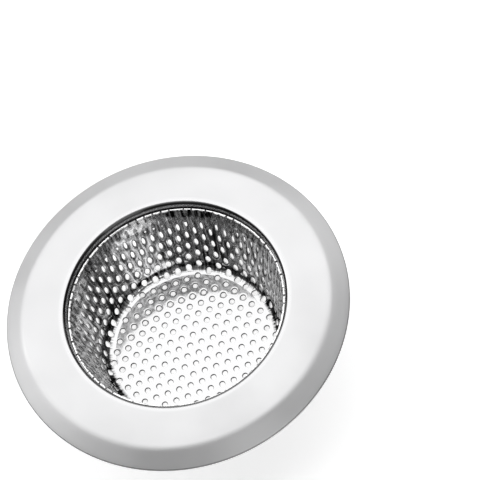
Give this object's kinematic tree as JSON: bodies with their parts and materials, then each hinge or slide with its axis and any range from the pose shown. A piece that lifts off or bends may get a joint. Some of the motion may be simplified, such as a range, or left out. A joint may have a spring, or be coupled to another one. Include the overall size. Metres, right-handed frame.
{
  "type": "sink strainer",
  "caption": "Drop-in sink strainer: wide hemmed flange, tapered basket of perforated sheet and a polished crimp collar under the rim.",
  "frame": {"origin": "centre of the basket floor's underside, which the strainer stands on", "axes": "+Z along the drain's axis, up out of the basket's mouth; +X along a row of the floor's holes"},
  "size_m": [0.1128, 0.1128, 0.034],
  "materials": {
    "satin_flange": "fine satin stainless steel",
    "perforated_sheet": "bright drawn stainless sheet",
    "polished_collar": "polished stainless steel"
  },
  "bodies": {
    "root": {"rim": "satin_flange", "basket": "perforated_sheet", "crimp_collar": "polished_collar"}
  },
  "joints": []
}
